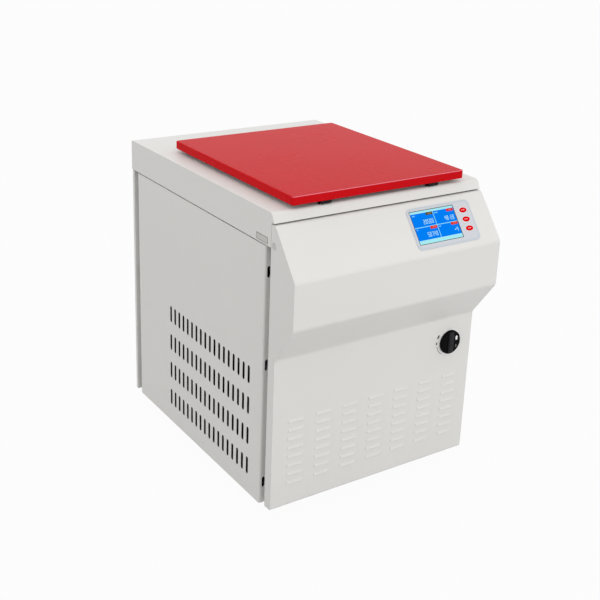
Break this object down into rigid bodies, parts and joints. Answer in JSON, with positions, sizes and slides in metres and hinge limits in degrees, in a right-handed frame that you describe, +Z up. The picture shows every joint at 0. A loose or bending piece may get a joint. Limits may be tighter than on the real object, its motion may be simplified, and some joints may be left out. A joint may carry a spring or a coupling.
{
  "type": "refrigerated floor-standing centrifuge",
  "caption": "Floor-standing refrigerated lab centrifuge with a flat hinged lid, sloping control face, louvred front, slotted sides and a fixed-angle rotor in a steel bowl.",
  "frame": {"origin": "middle of the footprint, on the floor under the feet", "axes": "+X to the operator's right, +Y from the control face to the back, +Z up"},
  "size_m": [0.62, 0.868, 0.8368],
  "materials": {
    "cabinet_paint": "fine satin powder coat",
    "lid_paint": "gloss red paint",
    "frame_steel": "plain rolled steel",
    "zinc_plate": "zinc plated",
    "stainless": "brushed stainless",
    "copper": "drawn copper tube",
    "cast_aluminium": "as cast",
    "anodised": "anodised satin",
    "black_plastic": "fine grain",
    "black_enamel": "semi gloss enamel",
    "rubber": "matt",
    "foam": "cut foam",
    "membrane_film": "printed film",
    "screen": "lit display",
    "button_red": "satin",
    "circuit_board": "solder mask",
    "plug_grey": "moulded"
  },
  "bodies": {
    "cabinet": {"base_plate": "frame_steel", "side_frame_left": "frame_steel", "side_frame_right": "frame_steel", "foot_front_left": "rubber", "foot_front_right": "rubber", "foot_rear_left": "rubber", "foot_rear_right": "rubber", "front_cover": "cabinet_paint", "cover_plug_left": "plug_grey", "cover_plug_right": "plug_grey", "side_panel_left": "cabinet_paint", "side_panel_right": "cabinet_paint", "rear_cover": "cabinet_paint", "cord_gland": "black_plastic", "top_cover": "cabinet_paint", "control_membrane": "membrane_film", "display_screen": "screen", "control_board": "circuit_board", "switch_base": "plug_grey", "chamber_bowl": "stainless", "chamber_seal": "rubber", "evaporator_coil": "copper", "insulation_jacket": "foam", "guard_ring": "frame_steel", "spindle_boot": "rubber", "motor_deck": "frame_steel", "drive_motor": "cast_aluminium", "damper_front": "rubber", "damper_left": "rubber", "damper_right": "rubber", "compressor": "black_enamel", "condenser": "cast_aluminium", "fan_shroud": "zinc_plate", "power_unit": "cast_aluminium", "lock_unit_left": "zinc_plate", "lock_unit_right": "zinc_plate", "hinge_bracket_left": "zinc_plate", "hinge_bracket_right": "zinc_plate"},
    "lid": {"lid_shell": "lid_paint", "lid_liner": "stainless", "lid_foam": "foam", "lid_striker_left": "black_plastic", "lid_striker_right": "black_plastic", "lid_arm_left": "zinc_plate", "lid_arm_right": "zinc_plate"},
    "strut_tube_left": {"strut_cylinder_left": "black_enamel"},
    "strut_tube_right": {"strut_cylinder_right": "black_enamel"},
    "strut_piston_left": {"strut_rod_left": "stainless"},
    "strut_piston_right": {"strut_rod_right": "stainless"},
    "upper_button": {"button_upper": "button_red"},
    "middle_button": {"button_middle": "button_red"},
    "lower_button": {"button_lower": "button_red"},
    "main_switch": {"main_switch_knob": "black_plastic"},
    "fan": {"fan_blades": "black_plastic"},
    "spinning_rotor": {"drive_spindle": "stainless", "rotor": "anodised"},
    "rotor_nut": {"rotor_knob": "black_plastic"},
    "left_hook": {"lock_hook_left": "frame_steel"},
    "right_hook": {"lock_hook_right": "frame_steel"}
  },
  "joints": [
    {"name": "lid_hinge", "type": "hinge", "parent": "cabinet", "child": "lid", "pos_m": [0, 0.2542, 0.819], "axis": [-1, 0, 0], "range_deg": [0, 80]},
    {"name": "strut_tilt_left", "type": "hinge", "parent": "cabinet", "child": "strut_tube_left", "pos_m": [-0.2253, 0.2072, 0.559], "axis": [-1, 0, 0], "range_deg": [0, 5.52]},
    {"name": "strut_slide_left", "type": "slide", "parent": "strut_tube_left", "child": "strut_piston_left", "axis": [0, -0.055, 0.9985], "range_m": [0, 0.0789]},
    {"name": "hook_swing_left", "type": "hinge", "parent": "cabinet", "child": "left_hook", "pos_m": [-0.1615, -0.3058, 0.7529], "axis": [1, 0, 0], "range_deg": [0, 26]},
    {"name": "strut_tilt_right", "type": "hinge", "parent": "cabinet", "child": "strut_tube_right", "pos_m": [0.2253, 0.2072, 0.559], "axis": [-1, 0, 0], "range_deg": [0, 5.52]},
    {"name": "strut_slide_right", "type": "slide", "parent": "strut_tube_right", "child": "strut_piston_right", "axis": [0, -0.055, 0.9985], "range_m": [0, 0.0789]},
    {"name": "hook_swing_right", "type": "hinge", "parent": "cabinet", "child": "right_hook", "pos_m": [0.1615, -0.3058, 0.7529], "axis": [1, 0, 0], "range_deg": [0, 26]},
    {"name": "upper_button_press", "type": "slide", "parent": "cabinet", "child": "upper_button", "axis": [0, 0.7905, -0.6125], "range_m": [0, 0.0012], "stiffness_N_per_m": 1500},
    {"name": "middle_button_press", "type": "slide", "parent": "cabinet", "child": "middle_button", "axis": [0, 0.7905, -0.6125], "range_m": [0, 0.0012], "stiffness_N_per_m": 1500},
    {"name": "lower_button_press", "type": "slide", "parent": "cabinet", "child": "lower_button", "axis": [0, 0.7905, -0.6125], "range_m": [0, 0.0012], "stiffness_N_per_m": 1500},
    {"name": "main_switch_turn", "type": "hinge", "parent": "cabinet", "child": "main_switch", "pos_m": [0.2327, -0.37, 0.3794], "axis": [0, 1, 0], "range_deg": [0, 90]},
    {"name": "fan_spin", "type": "hinge", "parent": "cabinet", "child": "fan", "pos_m": [-0.02, -0.2182, 0.1813], "axis": [0, 1, 0], "continuous": true},
    {"name": "rotor_spin", "type": "hinge", "parent": "cabinet", "child": "spinning_rotor", "pos_m": [0, -0.045, 0.579], "axis": [0, 0, 1], "continuous": true},
    {"name": "rotor_nut_turn", "type": "hinge", "parent": "spinning_rotor", "child": "rotor_nut", "pos_m": [0, -0.045, 0.721], "axis": [0, 0, 1], "range_deg": [0, 360]}
  ],
  "couplings": [
    {"joint": "strut_tilt_left", "follows": "lid_hinge", "ratio": 0.06884},
    {"joint": "strut_slide_left", "follows": "lid_hinge", "m_per_rad": 0.05646},
    {"joint": "strut_tilt_right", "follows": "lid_hinge", "ratio": 0.06884},
    {"joint": "strut_slide_right", "follows": "lid_hinge", "m_per_rad": 0.05646}
  ]
}
